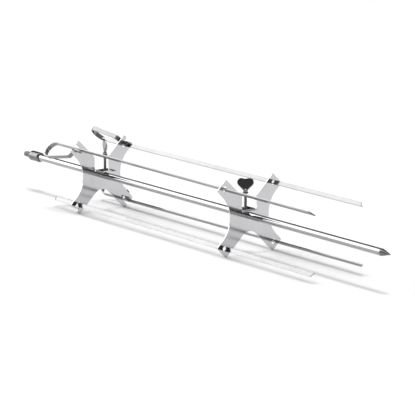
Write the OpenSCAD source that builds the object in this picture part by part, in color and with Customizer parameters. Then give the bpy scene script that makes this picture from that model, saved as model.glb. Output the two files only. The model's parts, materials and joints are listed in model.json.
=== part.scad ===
// Rotisserie spit roaster: a round spit with two clamped X-shaped holders
// that carry four flat skewers round it. It stands on the holders' lower arms.
// The spit runs along X, its point towards +X, and the floor is Z = 0.

/* [Spit] */
// Length from the drive end to the point
overall_len = 1064; // [1000:1:1200]
// Diameter of the spit rod
spit_d = 12; // [11:0.1:13]
// Length of the cone at the pointed end
point_len = 22; // [15:1:30]
// Side of the square drive shank
drive_side = 8; // [7:0.1:9]
// Length of the square drive shank outside the collar
drive_len = 22; // [16:0.5:26]
// Diameter of the collar
collar_d = 18; // [17:0.1:22]
// Length of the collar
collar_len = 30; // [28:1:50]

/* [Holders] */
// Position of the left, forked holder along the spit
left_x = -278; // [-320:1:-200]
// Position of the right, drilled holder along the spit
right_x = 164; // [60:1:200]
// Side of the square on which the four skewers lie
skewer_square = 100; // [96:1:110]
// Sheet thickness
sheet_t = 2; // [1.5:0.1:2.5]
// Width of an arm
arm_w = 25.6; // [24:0.1:28]
// Distance from the spit's axis to the end of a drilled arm
arm_reach = 80.5; // [78:0.5:86]
// Radius of the waist at the holder's sides
side_r = 51; // [40:1:55]
// Radius of the arch at the holder's top and bottom
arch_r = 20; // [17:1:24]
// Diameter of the hole in a drilled arm
arm_hole_d = 9.5; // [9:0.1:11]
// Width of the notch in a forked arm
notch_w = 9.6; // [9.6:0.1:10]
// Depth of the notch in a forked arm
notch_depth = 17.5; // [17:0.5:19]

/* [Clamp] */
// Width of the tab bent out of the sheet
tab_w = 26.4; // [22:0.1:27]
// Height of the tab's upper face above the spit's axis
tab_top = 10.5; // [10:0.1:12]
// Distance of the clamp screw from the sheet's middle
screw_off = 11; // [9:0.5:12]
// Thread diameter of the clamp screw
stud_d = 5; // [4:0.1:5.2]
// Height of the clamp screw's flange above the spit's axis
flange_z = 35.5; // [30:0.5:40]
// Width of the clamp screw's paddle
paddle_w = 28; // [24:0.5:30]
// Height of the paddle
paddle_h = 21.5; // [18:0.5:24]
// Thickness of the paddle
paddle_t = 3; // [2.5:0.1:4]
// Angle of the left paddle about its own screw
left_turn = -18; // [-90:1:90]
// Angle of the right paddle about its own screw
right_turn = 52; // [-90:1:90]

/* [Skewers] */
// Width of the flat strip
strip_w = 8; // [7:0.1:8.2]
// Thickness of the flat strip
strip_t = 2; // [1.5:0.1:2.4]
// Distance that a skewer's point stands beyond the right holder
tip_reach = 240; // [200:1:300]
// Length of the bevel at the point
bevel_len = 10; // [6:0.5:14]
// Radius of the finger loop's round end, at the strip's middle
loop_r = 15.2; // [13:0.1:16]
// Distance from the left holder to the far side of the finger loop
loop_reach = 81.2; // [74:0.1:90]
// Slope of the loop's returning side
return_slope = 12.4; // [8:0.1:14]
// How far the free end of the loop stands out in front of the left holder
latch_reach = 13; // [8:0.5:16]
// Distance between the strip and the loop's free end, inside the notch
latch_off = 3.9; // [3:0.1:4]
// How far the skewers lean off the middle of their notches
lean = 1; // [0:0.1:1.2]
// The same for the lower front skewer
front_lean = 1.8; // [1.4:0.1:1.9]
// Angle by which the lower front skewer is rolled, so that its loop lies flat
front_roll = 25; // [20:0.5:26]

/* [Hidden] */
$fn = 96;

fit = 0.05;          // radial running clearance of pins in bores
slide_fit = 0.1;     // radial clearance of a holder on the spit
face_gap = 0.1;      // gap between faces that only rest on each other
eps = 0.01;          // overlap that joins solids

diag = sqrt(1 / 2);
hole_reach = skewer_square * diag;
arm_corner_r = 2.5;
axis_z = (arm_reach + arm_w / 2 - 2 * arm_corner_r) * diag + arm_corner_r;

// The forked arms are as long as it takes to stand at the same height.
prong_r = (arm_w - notch_w) / 4;
fork_reach = (axis_z - prong_r) / diag + 2 * prong_r - arm_w / 2;

drive_x = -overall_len / 2;
collar_x = drive_x + drive_len;
collar_end_x = collar_x + collar_len;
point_x = overall_len / 2 - point_len;
tail_d = 10;                          // round tail of the shank inside the collar
tail_len = 12;
rod_x = collar_x + tail_len + 1;      // the rod starts 1 mm after the tail
spigot_d = 6;                         // spigot of the point inside the rod
spigot_len = 15;
collar_chamfer = 2;
pin_d = 4;
set_screw_d = 5;
set_screw_len = 3;
hex_key = 2.5;

bend_in = 1.5;                        // inner radius of the tab's bend
slit_w = 2;
inner_corner = arm_w * diag;          // where two arms' straight edges would meet
arch_z = inner_corner + arch_r / diag;

nut_head_d = 9.5;
nut_head_h = 1.6;
nut_shank_d = 7;
stud_bottom = spit_d / 2 + face_gap;
stud_top = flange_z + 6;
flange_d = 9.6;
flange_h = 2;
boss_d = 7.6;
paddle_z = flange_z + flange_h + 2.5;

skewer_end = right_x - left_x + tip_reach;   // measured from the left holder
loop_x = -(loop_reach - loop_r);
crank = 62;                           // turn of the returning side towards the notch
crank_r = 3;
crank_gap = 1.2;                      // gap from the crank to the holder's face
hole_angles = [135, 45, -45, -135];   // top front, top back, bottom back, bottom front

// ---- Shared shapes ----

// A cylinder along X on the spit's axis.
module axial(x, d, len) {
    translate([x, 0, axis_z]) rotate([0, 90, 0]) cylinder(d = d, h = len);
}

// Turns a flat outline in Y and Z into a sheet centred on x.
module sheet(x) {
    translate([x - sheet_t / 2, 0, axis_z]) rotate([90, 0, 90]) linear_extrude(sheet_t) children();
}

// ---- Spit ----

module spit_rod() {
    color("silver") difference() {
        axial(rod_x, spit_d, point_x - rod_x);
        axial(point_x - spigot_len - face_gap, spigot_d + 2 * fit, spigot_len + 1);
    }
}

module spit_point() {
    color("gray") {
        translate([point_x, 0, axis_z]) rotate([0, 90, 0])
            rotate_extrude() polygon([
                [0, -spigot_len], [spigot_d / 2, -spigot_len], [spigot_d / 2, 0],
                [spit_d / 2, 0], [spit_d / 2, 1.5], [0.4, point_len], [0, point_len]
            ]);
    }
}

module drive_shank() {
    tail_x = collar_x + tail_len;
    color("silver") difference() {
        union() {
            translate([drive_x, 0, axis_z]) rotate([0, 90, 0]) intersection() {
                translate([-drive_side / 2, -drive_side / 2, 0]) cube([drive_side, drive_side, drive_len + 1]);
                // The corners are turned down a little, and chamfered at the end.
                rotate_extrude() polygon([
                    [0, 0], [drive_side * 0.5, 0], [drive_side * 0.65, 1.5],
                    [drive_side * 0.65, drive_len + 1], [0, drive_len + 1]
                ]);
            }
            axial(collar_x, tail_d, tail_x - collar_x);
        }
        translate([pin_x(), 0, axis_z]) cylinder(d = pin_d + 2 * fit, h = tail_d + 2, center = true);
    }
}

function pin_x() = collar_x + tail_len / 2;
function set_screw_x() = collar_end_x - 7;

module drive_pin() {
    color("dimgray") translate([pin_x(), 0, axis_z - collar_d / 2 + 0.5]) cylinder(d = pin_d, h = collar_d - 1);
}

module spit_collar() {
    r = collar_d / 2;
    c = collar_chamfer;
    color("darkgray") difference() {
        translate([collar_x, 0, axis_z]) rotate([0, 90, 0]) rotate_extrude() polygon([
            [0, 0], [r - c, 0], [r, c], [r, collar_len - c], [r - c, collar_len], [0, collar_len]
        ]);
        axial(collar_x - 1, tail_d + 2 * fit, tail_len + 2);
        axial(rod_x - face_gap, spit_d + 2 * fit, collar_len);
        translate([pin_x(), 0, axis_z]) cylinder(d = pin_d + 2 * fit, h = collar_d + 2, center = true);
        translate([set_screw_x(), 0, axis_z]) cylinder(d = set_screw_d + 2 * fit, h = collar_d);
    }
}

module collar_set_screw() {
    color("dimgray") translate([set_screw_x(), 0, axis_z + spit_d / 2 + face_gap]) difference() {
        cylinder(d = set_screw_d, h = set_screw_len - 0.5);
        translate([0, 0, 1]) cylinder(d = hex_key / cos(30), h = set_screw_len, $fn = 6);
    }
}

// ---- Holders ----

// Fills the inside of a square corner with a concave round.
module corner_fill(r) {
    rotate(-45) difference() {
        translate([-eps, -eps]) square(r + eps);
        translate([r, r]) circle(r);
    }
}

// The waist shared by both holders, without its arms' ends.
module waist() {
    for (side = [0, 180]) rotate(side) {
        translate([inner_corner, 0]) corner_fill(side_r);
        rotate(90) translate([inner_corner, 0]) corner_fill(arch_r);
    }
}

// Two crossed bars with rounded corners.
module crossed_bars(reach, corner_r) {
    inner = 2 * (reach - corner_r);
    inner_w = arm_w - 2 * corner_r;
    for (turn = [45, -45]) rotate(turn) {
        square([inner, arm_w], center = true);
        square([2 * reach, inner_w], center = true);
        for (x = [-inner / 2, inner / 2], y = [-inner_w / 2, inner_w / 2])
            translate([x, y]) circle(corner_r);
    }
}

module drilled_arms() {
    difference() {
        crossed_bars(arm_reach, arm_corner_r);
        for (a = hole_angles) rotate(a) translate([hole_reach, 0]) circle(d = arm_hole_d);
    }
}

module forked_arms() {
    difference() {
        crossed_bars(fork_reach, prong_r);
        for (a = hole_angles) rotate(a) {
            translate([fork_reach - notch_depth + notch_w / 2, 0]) {
                circle(d = notch_w);
                translate([0, -notch_w / 2]) square([notch_depth, notch_w]);
            }
            // The space between the prongs' round tips.
            translate([fork_reach - prong_r, -notch_w / 2 - eps]) prong_tip_cut();
            mirror([0, 1]) translate([fork_reach - prong_r, -notch_w / 2 - eps]) prong_tip_cut();
        }
    }
}

// Rounds the inner corner of a prong's tip.
module prong_tip_cut() {
    difference() {
        translate([0, -prong_r]) square([prong_r + 1, prong_r + 1]);
        translate([0, -prong_r]) circle(prong_r);
    }
}

// The tab's flat blank ends where the arch did, so its end is hollow.
module tab() {
    bend_out = bend_in + sheet_t;
    centre_x = sheet_t / 2 + bend_in;
    centre_z = tab_top - bend_out;
    reach = arch_z - centre_z - bend_out + centre_x;   // the arch's centre, laid flat
    translate([0, 0, centre_z]) {
        // The round bend.
        translate([centre_x, tab_w / 2, 0]) rotate([90, 0, 0]) intersection() {
            difference() {
                cylinder(r = bend_out, h = tab_w);
                translate([0, 0, -1]) cylinder(r = bend_in, h = tab_w + 2);
            }
            translate([-bend_out, 0, 0]) cube([bend_out, bend_out, tab_w]);
        }
        // The flat part, drilled for the nut.
        translate([centre_x - eps, 0, bend_in]) linear_extrude(sheet_t) difference() {
            translate([0, -tab_w / 2]) square([reach - centre_x, tab_w]);
            translate([reach, 0]) circle(arch_r);
            translate([screw_off - centre_x, 0]) circle(d = nut_shank_d);
        }
    }
}

// side is 1 where the tab points towards +X, and -1 where it points towards -X.
module holder(x, side) {
    slot_z = tab_top - bend_in - sheet_t;
    sheet(x) difference() {
        union() {
            children();
            waist();
        }
        circle(d = spit_d + 2 * slide_fit);
        translate([-tab_w / 2 - slit_w, slot_z]) square([tab_w + 2 * slit_w, arch_z]);
    }
    translate([x, 0, axis_z]) scale([side, 1, 1]) tab();
}

module left_holder_plate() {
    color("gainsboro") holder(left_x, 1) forked_arms();
}

module right_holder_plate() {
    color("gainsboro") holder(right_x, -1) drilled_arms();
}

// ---- Clamp screws ----

// Puts a clamp's pieces at their screw's axis.
module at_clamp(x, side, turn = 0) {
    translate([x + side * screw_off, 0, axis_z]) rotate(turn) children();
}

module clinch_nut() {
    head_z = tab_top - sheet_t - nut_head_h;
    difference() {
        union() {
            translate([0, 0, head_z]) cylinder(d = nut_head_d, h = nut_head_h);
            translate([0, 0, head_z]) cylinder(d = nut_shank_d, h = nut_head_h + sheet_t);
        }
        translate([0, 0, head_z - 1]) cylinder(d = stud_d + 2 * fit, h = nut_head_h + sheet_t + 2);
    }
}

module stud() {
    tip = 0.8;
    translate([0, 0, stud_bottom]) rotate_extrude() polygon([
        [0, 0], [stud_d / 2 - tip, 0], [stud_d / 2, tip],
        [stud_d / 2, stud_top - stud_bottom], [0, stud_top - stud_bottom]
    ]);
}

module flange() {
    translate([0, 0, flange_z]) difference() {
        cylinder(d = flange_d, h = flange_h);
        translate([0, 0, -1]) cylinder(d = stud_d + 2 * fit, h = flange_h + 2);
    }
}

// A spade-shaped paddle with a hollow top on a round boss, which takes the stud's end.
module paddle() {
    lobe_r = 7.5;
    hip_r = 5.5;
    neck_r = 3.6;
    hollow_r = 26;
    hollow_depth = 1;
    boss_h = stud_top - flange_z - flange_h + 2;
    difference() {
        union() {
            translate([0, paddle_t / 2, paddle_z]) rotate([90, 0, 0]) linear_extrude(paddle_t) difference() {
                hull() {
                    for (side = [-1, 1])
                        translate([side * (paddle_w / 2 - lobe_r), paddle_h - lobe_r]) circle(lobe_r);
                    translate([0, paddle_h * 0.3]) circle(hip_r);
                    translate([0, neck_r / 2]) circle(neck_r);
                }
                translate([0, paddle_h + hollow_r - hollow_depth]) circle(hollow_r);
            }
            translate([0, 0, flange_z + flange_h]) cylinder(d = boss_d, h = boss_h);
        }
        cylinder(d = stud_d + 2 * fit, h = stud_top + face_gap);
    }
}

module left_clinch_nut() { color("silver") at_clamp(left_x, 1) clinch_nut(); }
module left_screw_stud() { color("darkgray") at_clamp(left_x, 1) stud(); }
module left_screw_flange() { color("dimgray") at_clamp(left_x, 1) flange(); }
module left_screw_paddle() { color("dimgray") at_clamp(left_x, 1, left_turn) paddle(); }
module right_clinch_nut() { color("silver") at_clamp(right_x, -1) clinch_nut(); }
module right_screw_stud() { color("darkgray") at_clamp(right_x, -1) stud(); }
module right_screw_flange() { color("dimgray") at_clamp(right_x, -1) flange(); }
module right_screw_paddle() { color("dimgray") at_clamp(right_x, -1, right_turn) paddle(); }

// ---- Skewers ----

// Points round a bend, each as [x, y, direction of the strip's outer side]. Where the bend turns
// the other way, its centre is on the outer side, and the direction is turned by flip.
function round_bend(c, r, from, to, steps, flip = 0) = [
    for (i = [0:steps]) let (a = from + (to - from) * i / steps)
        [c[0] + r * cos(a), c[1] + r * sin(a), a + flip]
];

// The middle line of a skewer's strip, from its point round the loop to the free end, which is
// cranked inwards and passes through the notch beside the strip.
function skewer_line() =
    let (
        top = 90 - return_slope,
        steep = return_slope + crank,
        down = [cos(steep), -sin(steep)],
        out = [sin(steep), cos(steep)],
        normal = [sin(return_slope), cos(return_slope)],
        loop_c = [loop_x, loop_r],
        start = loop_c + loop_r * normal,
        foot_c = [-sheet_t / 2 - crank_gap, latch_off + crank_r],
        // The straight between the crank's two bends reaches back to the sloping side.
        run = -((foot_c - 2 * crank_r * out - start) * normal + crank_r) / sin(crank),
        knee_c = foot_c - 2 * crank_r * out - run * down
    )
    concat(
        [[skewer_end, 0, 270]],
        round_bend(loop_c, loop_r, 270, top, 32),
        round_bend(knee_c, crank_r, top, 90 - steep, 8),
        round_bend(foot_c, crank_r, 270 - steep, 270, 8, -180),
        [[latch_reach, latch_off, 90]]
    );

// A skewer in its own frame: X along it from the left holder, Y towards its loop, Z outwards
// from the spit.
module skewer() {
    line = skewer_line();
    last = len(line) - 1;
    outer = [for (p = line) [p[0], p[1]] + strip_t / 2 * [cos(p[2]), sin(p[2])]];
    inner = [for (p = line) [p[0], p[1]] - strip_t / 2 * [cos(p[2]), sin(p[2])]];
    difference() {
        linear_extrude(strip_w, center = true)
            polygon(concat(outer, [for (i = [last:-1:0]) inner[i]]));
        // The bevel leaves the inner edge longest.
        translate([skewer_end, strip_t, -strip_w / 2]) rotate([90, 0, 0]) linear_extrude(2 * strip_t)
            polygon([[0, 0], [1, 0], [1, strip_w + 1], [-bevel_len * (1 + 1 / strip_w), strip_w + 1]]);
    }
}

// Puts a skewer in the arm at this angle, rolled about its own length. It stands off the middle
// of its notch and its hole by offset and hole_offset, on opposite sides. The four loops all point
// the same way round the spit.
module placed_skewer(angle, offset, hole_offset, roll = 0) {
    color("whitesmoke") translate([left_x, 0, axis_z]) rotate([angle - 90, 0, 0])
        translate([0, offset, hole_reach])
            rotate([0, 0, -atan((offset + hole_offset) / (right_x - left_x))])
                rotate([roll, 0, 0]) mirror([0, 1, 0]) skewer();
}

module skewer_top_front() { placed_skewer(hole_angles[0], lean, lean); }
module skewer_top_back() { placed_skewer(hole_angles[1], lean, lean); }
module skewer_bottom_back() { placed_skewer(hole_angles[2], lean, lean); }
module skewer_bottom_front() { placed_skewer(hole_angles[3], front_lean, 0, front_roll); }

spit_rod();
spit_point();
drive_shank();
drive_pin();
spit_collar();
collar_set_screw();
left_holder_plate();
left_clinch_nut();
left_screw_stud();
left_screw_flange();
left_screw_paddle();
right_holder_plate();
right_clinch_nut();
right_screw_stud();
right_screw_flange();
right_screw_paddle();
skewer_top_front();
skewer_top_back();
skewer_bottom_back();
skewer_bottom_front();
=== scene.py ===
import json
import math

import bmesh
import bpy
from mathutils import Matrix, Vector
from mathutils.geometry import convex_hull_2d


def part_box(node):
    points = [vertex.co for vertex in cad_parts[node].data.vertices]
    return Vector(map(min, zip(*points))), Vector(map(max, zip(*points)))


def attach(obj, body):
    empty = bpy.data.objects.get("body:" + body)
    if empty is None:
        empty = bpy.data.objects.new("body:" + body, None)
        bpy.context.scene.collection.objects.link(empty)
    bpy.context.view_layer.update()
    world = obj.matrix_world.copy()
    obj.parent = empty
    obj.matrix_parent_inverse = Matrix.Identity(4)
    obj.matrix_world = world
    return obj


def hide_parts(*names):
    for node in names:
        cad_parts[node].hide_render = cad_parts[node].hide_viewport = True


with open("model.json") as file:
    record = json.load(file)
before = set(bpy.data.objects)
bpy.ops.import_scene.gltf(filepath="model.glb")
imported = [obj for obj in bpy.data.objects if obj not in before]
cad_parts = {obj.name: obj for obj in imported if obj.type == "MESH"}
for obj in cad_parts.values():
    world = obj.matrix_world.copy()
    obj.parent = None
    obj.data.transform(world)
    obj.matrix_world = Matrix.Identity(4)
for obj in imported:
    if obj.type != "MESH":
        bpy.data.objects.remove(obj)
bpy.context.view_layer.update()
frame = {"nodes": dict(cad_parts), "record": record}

MM = 0.001

# ---- Places, worked out from the frame ----


def middle(node):
    lo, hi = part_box(node)
    return (lo + hi) / 2


AXIS_Z = middle("spit_rod").z
HOLDER_TO_SCREW = 11 * MM
RIGHT_X = middle("right_clinch_nut").x + HOLDER_TO_SCREW

# ---- Camera ----

VIEW_AZIMUTH = math.radians(54.43)
VIEW_ELEVATION = math.radians(11.52)
VIEW_DISTANCE = 4.607
VIEW_LENS = 242.2          # mm, on a 36 mm sensor
# The point that the camera looks at, from the spit's axis at the right holder.
VIEW_AIM = Vector((-0.0421, -0.0548, 0.0129))
TO_CAMERA = Vector((
    math.sin(VIEW_AZIMUTH) * math.cos(VIEW_ELEVATION),
    -math.cos(VIEW_AZIMUTH) * math.cos(VIEW_ELEVATION),
    math.sin(VIEW_ELEVATION),
))


def make_camera():
    data = bpy.data.cameras.new("camera")
    data.lens = VIEW_LENS
    data.sensor_width = 36
    data.clip_end = 100
    camera = bpy.data.objects.new("camera", data)
    bpy.context.scene.collection.objects.link(camera)
    aim = Vector((RIGHT_X, 0, AXIS_Z)) + VIEW_AIM
    camera.location = aim + VIEW_DISTANCE * TO_CAMERA
    camera.rotation_euler = (-TO_CAMERA).to_track_quat("-Z", "Y").to_euler()
    bpy.context.scene.camera = camera


make_camera()

# ---- Materials ----


def grey(value):
    return (value, value, value * 1.005)


class Shader:
    """A material with a Principled shader, and short ways to add and link its nodes."""

    def __init__(self, name, base, metallic, roughness):
        self.material = bpy.data.materials.new(name)
        self.material.use_nodes = True
        self.tree = self.material.node_tree
        self.bsdf = self.tree.nodes["Principled BSDF"]
        self.bsdf.inputs["Base Color"].default_value = (*base, 1)
        self.bsdf.inputs["Metallic"].default_value = metallic
        self.bsdf.inputs["Roughness"].default_value = roughness
        self.place = self.node("ShaderNodeTexCoord").outputs["Object"]

    def node(self, kind, **settings):
        made = self.tree.nodes.new(kind)
        for key, value in settings.items():
            setattr(made, key, value)
        return made

    def link(self, source, node, socket):
        self.tree.links.new(source, node.inputs[socket])

    def noise(self, scale, stretch=(1, 1, 1), detail=4.0, rough=0.55, turn=(0, 0, 0)):
        """Noise with a scale in features per metre, stretched along the axes."""
        mapping = self.node("ShaderNodeMapping")
        mapping.inputs["Scale"].default_value = stretch
        mapping.inputs["Rotation"].default_value = [math.radians(a) for a in turn]
        self.link(self.place, mapping, "Vector")
        noise = self.node("ShaderNodeTexNoise")
        noise.inputs["Scale"].default_value = scale
        noise.inputs["Detail"].default_value = detail
        noise.inputs["Roughness"].default_value = rough
        self.link(mapping.outputs["Vector"], noise, "Vector")
        return noise.outputs["Fac"]

    def ramp(self, value, low, high, at=(0.3, 0.7)):
        """Maps a value to a colour between two colours."""
        ramp = self.node("ShaderNodeValToRGB")
        ramp.color_ramp.elements[0].position = at[0]
        ramp.color_ramp.elements[1].position = at[1]
        ramp.color_ramp.elements[0].color = (*low, 1)
        ramp.color_ramp.elements[1].color = (*high, 1)
        self.link(value, ramp, "Fac")
        return ramp.outputs["Color"]

    def spread(self, value, low, high, at=(0.0, 1.0)):
        """Maps the range given by at to low..high."""
        spread = self.node("ShaderNodeMapRange")
        spread.inputs["From Min"].default_value = at[0]
        spread.inputs["From Max"].default_value = at[1]
        spread.inputs["To Min"].default_value = low
        spread.inputs["To Max"].default_value = high
        self.link(value, spread, "Value")
        return spread.outputs["Result"]

    def math(self, operation, a, b):
        node = self.node("ShaderNodeMath", operation=operation)
        self.link(a, node, 0)
        if isinstance(b, (int, float)):
            node.inputs[1].default_value = b
        else:
            self.link(b, node, 1)
        return node.outputs["Value"]

    def multiply(self, a, b):
        mix = self.node("ShaderNodeMix", data_type="RGBA", blend_type="MULTIPLY")
        mix.inputs["Factor"].default_value = 1
        self.link(a, mix, "A")
        self.link(b, mix, "B")
        return mix.outputs["Result"]

    def bump(self, value, distance, under=None):
        bump = self.node("ShaderNodeBump")
        bump.inputs["Distance"].default_value = distance
        self.link(value, bump, "Height")
        if under is not None:
            self.link(under, bump, "Normal")
        return bump.outputs["Normal"]

    def finish(self, colour=None, roughness=None, normal=None):
        if colour is not None:
            self.link(colour, self.bsdf, "Base Color")
        if roughness is not None:
            self.link(roughness, self.bsdf, "Roughness")
        if normal is not None:
            self.link(normal, self.bsdf, "Normal")
        return self.material


def polished_steel(name, light, dark, rough, grain, grain_scale=900.0, depth=2e-6):
    """Steel with a fine grain, cloudy polish, faint smudges and a few hairline scratches.
    grain stretches the grain's noise along the axes."""
    s = Shader(name, grey(light), 1.0, rough)
    fine = s.noise(grain_scale, grain, detail=6)
    cloud = s.noise(14, detail=3)
    smudge = s.noise(38, detail=5, rough=0.7)
    hairline = s.noise(260, (0.04, 1, 1), detail=2, turn=(31, 24, 17))
    colour = s.multiply(s.ramp(cloud, grey(dark), grey(light)), s.ramp(fine, grey(0.92), grey(1.0)))
    colour = s.multiply(colour, s.ramp(smudge, grey(1.0), grey(0.96), (0.55, 0.7)))
    marks = s.spread(smudge, 0.0, 0.07, (0.52, 0.72))
    roughness = s.math("ADD", s.spread(cloud, rough * 0.8, rough * 1.2), marks)
    scratches = s.spread(hairline, 0, 1, (0.62, 0.72))
    return s.finish(colour, roughness, s.bump(scratches, -1.5e-6, s.bump(fine, depth)))


def turned_steel(name):
    """Lathe-turned steel with fine rings round the spit's axis and rubbed bands."""
    s = Shader(name, grey(0.20), 1.0, 0.24)
    rings = s.noise(1900, (1, 0.02, 0.02), detail=5)
    bands = s.noise(120, (1, 0.1, 0.1), detail=3)
    cloud = s.noise(45, detail=4)
    colour = s.multiply(s.ramp(bands, grey(0.15), grey(0.24)), s.ramp(rings, grey(0.85), grey(1.0)))
    colour = s.multiply(colour, s.ramp(cloud, grey(0.86), grey(1.0)))
    return s.finish(colour, s.spread(cloud, 0.18, 0.34), s.bump(rings, 6e-6))


def screw_steel(name):
    """Dull machine screw steel, darker in patches."""
    s = Shader(name, grey(0.26), 1.0, 0.32)
    cloud = s.noise(160, detail=5, rough=0.65)
    fine = s.noise(2600, detail=3)
    colour = s.multiply(s.ramp(cloud, grey(0.17), grey(0.30)), s.ramp(fine, grey(0.85), grey(1.0)))
    return s.finish(colour, s.spread(cloud, 0.26, 0.42), s.bump(fine, 3e-6))


def paddle_steel(name):
    """Tumbled and plated steel: softly mottled, with small pits."""
    s = Shader(name, grey(0.24), 1.0, 0.08)
    mottle = s.noise(230, detail=4, rough=0.6)
    pits = s.noise(1300, detail=2)
    dark_pits = s.ramp(pits, grey(0.8), grey(1.0), (0.3, 0.42))
    colour = s.multiply(s.ramp(mottle, grey(0.21), grey(0.27)), dark_pits)
    normal = s.bump(s.spread(pits, 0, 1, (0.28, 0.42)), 5e-6, s.bump(mottle, 3e-6))
    return s.finish(colour, s.spread(mottle, 0.06, 0.12), normal)


MATERIALS = {
    "sheet_steel": polished_steel("sheet_steel", 0.60, 0.56, 0.10, (1, 1, 0.03)),
    "spit_steel": polished_steel("spit_steel", 0.42, 0.38, 0.11, (0.02, 1, 1)),
    "strip_steel": polished_steel("strip_steel", 0.28, 0.24, 0.13, (0.015, 1, 1), 1200.0),
    "turned_steel": turned_steel("turned_steel"),
    "screw_steel": screw_steel("screw_steel"),
    "paddle_steel": paddle_steel("paddle_steel"),
}


def dress():
    """Gives each CAD node the material of its slot."""
    for part in frame["record"]["subparts"]:
        mesh = frame["nodes"][part["node"]].data
        mesh.materials.clear()
        mesh.materials.append(MATERIALS[part["material_slot"]])


dress()

# ---- Soft edges on the CAD nodes ----

EDGE_ANGLE = math.radians(28)
SHEET_EDGE = 0.28 * MM
STRIP_EDGE = 0.32 * MM
TURNED_EDGE = 0.3 * MM
SMALL_EDGE = 0.15 * MM


def soften(node, width, segments=2):
    """Rounds a node's sharp edges."""
    thing = frame["nodes"][node]
    for face in thing.data.polygons:
        face.use_smooth = True
    weld = thing.modifiers.new("weld", "WELD")
    weld.merge_threshold = 1e-6
    flat = thing.modifiers.new("flat", "DECIMATE")
    flat.decimate_type = "DISSOLVE"
    flat.angle_limit = math.radians(0.5)
    edge = thing.modifiers.new("edge", "BEVEL")
    edge.width = width
    edge.segments = segments
    edge.limit_method = "ANGLE"
    edge.angle_limit = EDGE_ANGLE
    normals = thing.modifiers.new("normals", "WEIGHTED_NORMAL")
    normals.weight = 80


for side in ("left", "right"):
    soften(side + "_holder_plate", SHEET_EDGE)
    soften(side + "_screw_flange", SMALL_EDGE)
    soften(side + "_clinch_nut", SMALL_EDGE)
for place in ("top_front", "top_back", "bottom_back", "bottom_front"):
    soften("skewer_" + place, STRIP_EDGE)
soften("spit_collar", TURNED_EDGE)
soften("drive_shank", TURNED_EDGE)
soften("drive_pin", SMALL_EDGE)

# ---- Detailed pieces ----


def new_piece(name, bm, material):
    bmesh.ops.recalc_face_normals(bm, faces=bm.faces)
    for face in bm.faces:
        face.smooth = True
    mesh = bpy.data.meshes.new(name)
    bm.to_mesh(mesh)
    bm.free()
    mesh.materials.append(MATERIALS[material])
    piece = bpy.data.objects.new(name, mesh)
    bpy.context.scene.collection.objects.link(piece)
    return piece


def stand_for(piece, node, body):
    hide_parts(node)
    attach(piece, body)


def join_rings(bm, rings):
    """Faces between closed rings of vertices, with a cap at each end."""
    for lower, upper in zip(rings, rings[1:]):
        for i in range(len(lower)):
            k = (i + 1) % len(lower)
            bm.faces.new((lower[i], lower[k], upper[k], upper[i]))
    bm.faces.new(list(reversed(rings[0])))
    bm.faces.new(rings[-1])


THREAD_PITCH = 0.8 * MM
THREAD_DEPTH = 0.45 * MM
THREAD_ROUND = 28          # corners round the stud
THREAD_STEPS = 8           # rings in one pitch
THREAD_SLOPE = 2.6         # how steeply a thread's flanks rise
THREAD_ROOT = 0.4          # how much of that is cut off at the root
STUD_TIP = 0.9 * MM        # the cone at the stud's lower end


def make_stud(side):
    """The clamp screw's stud, with its thread cut as a real helix."""
    node = side + "_screw_stud"
    lo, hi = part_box(node)
    centre = (lo + hi) / 2
    radius = (hi.x - lo.x) / 2
    length = hi.z - lo.z
    steps = round(length / THREAD_PITCH * THREAD_STEPS)
    bm = bmesh.new()
    rings = []
    for step in range(steps + 1):
        z = length * step / steps
        # The thread runs out into a small cone at the tip that bears on the spit.
        limit = radius - max(0.0, STUD_TIP - z)
        ring = []
        for corner in range(THREAD_ROUND):
            angle = 2 * math.pi * corner / THREAD_ROUND
            phase = (z / THREAD_PITCH - angle / (2 * math.pi)) % 1.0
            height = min(1.0, max(0.0, THREAD_SLOPE * (1 - abs(2 * phase - 1)) - THREAD_ROOT))
            r = min(limit, radius - THREAD_DEPTH * (1 - height))
            ring.append(bm.verts.new((r * math.cos(angle), r * math.sin(angle), z)))
        rings.append(ring)
    join_rings(bm, rings)
    piece = new_piece(side + "_threaded_stud", bm, "screw_steel")
    piece.location = (centre.x, centre.y, lo.z)
    stand_for(piece, node, side + "_screw_feed")


PADDLE_TURN = {"left": math.radians(-18), "right": math.radians(52)}
PADDLE_WIDTH = 27.6 * MM
PADDLE_HEIGHT = 21.2 * MM
PADDLE_LOBE_R = 7.4 * MM
PADDLE_HIP_R = 5.4 * MM
PADDLE_NECK_R = 3.3 * MM
PADDLE_HALF = 0.95 * MM    # half of the thickness at the paddle's middle
# The right paddle leans back, so that its face reflects the dark side of the surroundings.
PADDLE_LEAN = {"left": 0.0, "right": math.radians(7.5)}
HOLLOW_R = 26 * MM
HOLLOW_DEPTH = 1 * MM
BOSS_R = 3.75 * MM
BOSS_H = 6 * MM
BLADE_FOOT = 2.6 * MM      # the blade's foot above the flange


def circle_points(x, y, r, count=72):
    angles = [2 * math.pi * i / count for i in range(count)]
    return [Vector((x + r * math.cos(a), y + r * math.sin(a))) for a in angles]


def evenly(outline, count):
    """The closed outline as evenly spaced points."""
    closed = outline + outline[:1]
    lengths = [0.0]
    for a, b in zip(closed, closed[1:]):
        lengths.append(lengths[-1] + (b - a).length)
    points, k = [], 0
    for i in range(count):
        want = lengths[-1] * i / count
        while lengths[k + 1] < want:
            k += 1
        share = (want - lengths[k]) / (lengths[k + 1] - lengths[k])
        points.append(closed[k].lerp(closed[k + 1], share))
    return points


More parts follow.
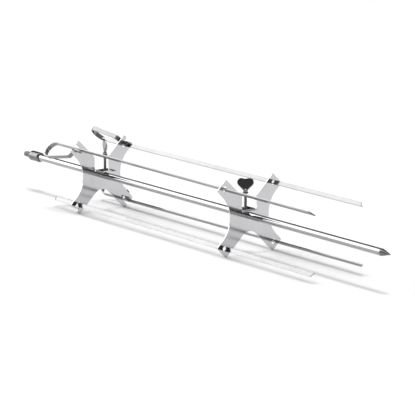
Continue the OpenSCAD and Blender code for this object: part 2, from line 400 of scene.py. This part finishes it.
def paddle_outline():
    """The spade's outline, with its hollow top."""
    lobe_x = PADDLE_WIDTH / 2 - PADDLE_LOBE_R
    spread = circle_points(-lobe_x, PADDLE_HEIGHT - PADDLE_LOBE_R, PADDLE_LOBE_R)
    spread += circle_points(lobe_x, PADDLE_HEIGHT - PADDLE_LOBE_R, PADDLE_LOBE_R)
    spread += circle_points(0, PADDLE_HEIGHT * 0.3, PADDLE_HIP_R)
    spread += circle_points(0, PADDLE_NECK_R / 2, PADDLE_NECK_R)
    hull = [spread[i] for i in convex_hull_2d(spread)]
    points = evenly(hull, 120)
    for p in points:
        hollow = PADDLE_HEIGHT - HOLLOW_DEPTH + HOLLOW_R - math.sqrt(HOLLOW_R ** 2 - p.x ** 2)
        p.y = min(p.y, hollow)
    return points


# How the paddle's thickness grows from its rim to its middle, as (share of the outline, share of
# the half thickness).
PADDLE_SECTION = (
    (1.0, 0.30), (0.99, 0.60), (0.97, 0.80), (0.94, 0.92),
    (0.9, 0.97), (0.8, 0.99), (0.5, 1.0), (0.05, 1.0),
)
BOSS_SECTION = (
    (0.88, 0.0), (1.0, 0.05), (1.0, 0.55), (0.96, 0.68),
    (0.86, 0.80), (0.70, 0.90), (0.45, 0.97), (0.1, 1.0),
)


def add_blade(bm):
    """The flat spade, standing in X and Z with its foot at Z = 0."""
    outline = paddle_outline()
    centre = Vector((0, PADDLE_HEIGHT * 0.55))
    front, back = [], []
    for share, thick in PADDLE_SECTION:
        loop = [centre + (p - centre) * share for p in outline]
        front.append([bm.verts.new((p.x, -PADDLE_HALF * thick, p.y)) for p in loop])
        back.append([bm.verts.new((p.x, PADDLE_HALF * thick, p.y)) for p in loop])
    join_rings(bm, list(reversed(front)) + back)


def add_boss(bm):
    rings = []
    for r, h in BOSS_SECTION:
        rings.append([bm.verts.new((p.x, p.y, h * BOSS_H)) for p in circle_points(0, 0, BOSS_R * r, 40)])
    join_rings(bm, rings)


def make_paddle(side):
    """The clamp screw's head: a soft-edged spade, leaning back a little, on a round boss."""
    node = side + "_screw_paddle"
    flange_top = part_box(side + "_screw_flange")[1].z
    axis = middle(side + "_screw_stud")
    bm = bmesh.new()
    add_blade(bm)
    half_way = Vector((0, 0, PADDLE_HEIGHT / 2))
    lean = Matrix.Rotation(-PADDLE_LEAN[side], 4, "X")
    lean = Matrix.Translation(half_way) @ lean @ Matrix.Translation(-half_way)
    lift = Matrix.Translation((0, 0, BLADE_FOOT))
    bmesh.ops.transform(bm, matrix=lift @ lean, verts=bm.verts)
    add_boss(bm)
    piece = new_piece(side + "_spade_paddle", bm, "paddle_steel")
    piece.location = (axis.x, axis.y, flange_top)
    piece.rotation_euler = (0, 0, PADDLE_TURN[side])
    stand_for(piece, node, side + "_screw_head")


for side in ("left", "right"):
    make_stud(side)
    make_paddle(side)

# ---- Floor, lights and surroundings ----

FLOOR_RADIUS = 30.0


def make_floor():
    """A wide white floor with soft variation."""
    bm = bmesh.new()
    bmesh.ops.create_circle(bm, cap_ends=True, segments=96, radius=FLOOR_RADIUS)
    mesh = bpy.data.meshes.new("floor")
    bm.to_mesh(mesh)
    bm.free()
    floor = bpy.data.objects.new("floor", mesh)
    bpy.context.scene.collection.objects.link(floor)
    s = Shader("floor_paper", grey(0.9), 0.0, 0.9)
    s.bsdf.inputs["Specular IOR Level"].default_value = 0.1
    mesh.materials.append(s.finish(s.ramp(s.noise(3, detail=2), grey(0.895), grey(0.905))))


def key_light():
    """A wide soft light straight above, even over the whole floor."""
    data = bpy.data.lights.new("overhead", "SUN")
    data.angle = KEY_ANGLE
    data.energy = KEY_STRENGTH
    light = bpy.data.objects.new("overhead", data)
    bpy.context.scene.collection.objects.link(light)


# Bright and dark parts of the studio, each as (direction, inner and outer angle in degrees,
# radiance). Later ones cover earlier ones.
STUDIO_BASE = 0.44
STUDIO_PARTS = (
    ((-0.80, -0.36, 0.42), 19, 28, 3.5),      # softbox on the left
    ((-0.58, -0.40, 0.71), 14, 22, 3.0),      # its upper part
    ((-0.78, 0.56, 0.25), 20, 27, 0.03),      # dark gap behind, over the backdrop
    ((0.80, -0.60, -0.02), 30, 45, 0.13),     # dark side of the room, round the camera
)


def make_world():
    world = bpy.data.worlds.new("studio")
    bpy.context.scene.world = world
    world.use_nodes = True
    tree = world.node_tree
    background = tree.nodes["Background"]
    ray = tree.nodes.new("ShaderNodeTexCoord").outputs["Generated"]
    level = None
    for direction, inner, outer, radiance in STUDIO_PARTS:
        dot = tree.nodes.new("ShaderNodeVectorMath")
        dot.operation = "DOT_PRODUCT"
        dot.inputs[1].default_value = Vector(direction).normalized()
        tree.links.new(ray, dot.inputs[0])
        inside = tree.nodes.new("ShaderNodeMapRange")
        inside.interpolation_type = "SMOOTHSTEP"
        inside.inputs["From Min"].default_value = math.cos(math.radians(outer))
        inside.inputs["From Max"].default_value = math.cos(math.radians(inner))
        tree.links.new(dot.outputs["Value"], inside.inputs["Value"])
        mix = tree.nodes.new("ShaderNodeMix")
        mix.data_type = "FLOAT"
        tree.links.new(inside.outputs["Result"], mix.inputs["Factor"])
        if level is None:
            mix.inputs["A"].default_value = STUDIO_BASE
        else:
            tree.links.new(level, mix.inputs["A"])
        mix.inputs["B"].default_value = radiance
        level = mix.outputs["Result"]
    background.inputs["Color"].default_value = (1, 1, 1, 1)
    tree.links.new(level, background.inputs["Strength"])


KEY_ANGLE = 0.277          # radians across
KEY_STRENGTH = 1.6

make_floor()
key_light()
make_world()
bpy.context.scene.view_settings.view_transform = "Standard"
